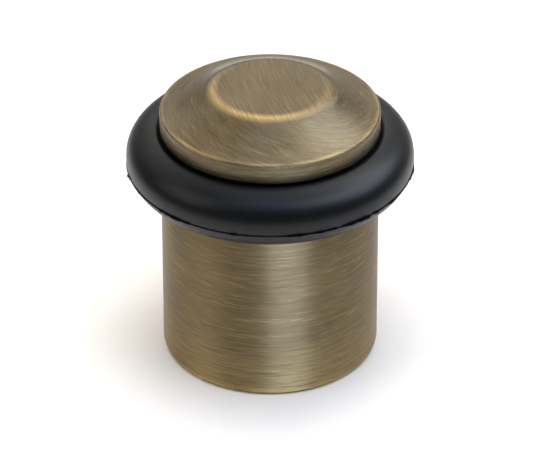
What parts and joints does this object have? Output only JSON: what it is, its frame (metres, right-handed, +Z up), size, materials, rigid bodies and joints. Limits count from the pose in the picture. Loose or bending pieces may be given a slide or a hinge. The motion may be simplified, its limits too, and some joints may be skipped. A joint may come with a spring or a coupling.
{
  "type": "floor door stop",
  "caption": "Cylindrical floor door stop: brushed antique brass body, thick black rubber buffer ring, and a low domed cap that screws down over the fixing screw.",
  "frame": {"origin": "centre of the base, in the plane of the floor", "axes": "+Z up along the axis of the cylinder, from the floor towards the cap; X and Y are equal, because the stop is round"},
  "size_m": [0.0396, 0.0396, 0.0406],
  "materials": {
    "antique_brass": "antique brass, patinated, brushed and lacquered, satin",
    "black_rubber": "moulded black rubber, satin, with a mould line",
    "zinc_plated_steel": "turned steel, bright zinc plated",
    "pad_rubber": "cut foam rubber sheet, matt",
    "white_nylon": "natural nylon, matt"
  },
  "bodies": {
    "body": {"body_tube": "antique_brass", "thread_bush": "zinc_plated_steel", "base_disc": "zinc_plated_steel", "base_pad": "pad_rubber"},
    "buffer": {"bumper_ring": "black_rubber"},
    "cap": {"cap": "antique_brass", "cap_spigot": "zinc_plated_steel"},
    "washer": {"screw_washer": "white_nylon"},
    "screw": {"fixing_screw": "zinc_plated_steel"}
  },
  "joints": [
    {"name": "cap_rise", "type": "slide", "parent": "body", "child": "buffer", "axis": [0, 0, 1], "range_m": [0, 0.008]},
    {"name": "cap_turn", "type": "hinge", "parent": "buffer", "child": "cap", "pos_m": [0, 0, 0.0253], "axis": [0, 0, 1], "range_deg": [0, 1440.1]},
    {"name": "screw_drive", "type": "slide", "parent": "body", "child": "washer", "axis": [0, 0, 1], "range_m": [-0.0253, 0]},
    {"name": "screw_turn", "type": "hinge", "parent": "washer", "child": "screw", "pos_m": [0, 0, 0.03026], "axis": [0, 0, 1], "range_deg": [-4338, 0]}
  ],
  "couplings": [
    {"joint": "cap_turn", "follows": "cap_rise", "rad_per_m": 3141.6},
    {"joint": "screw_turn", "follows": "screw_drive", "rad_per_m": 2992}
  ]
}
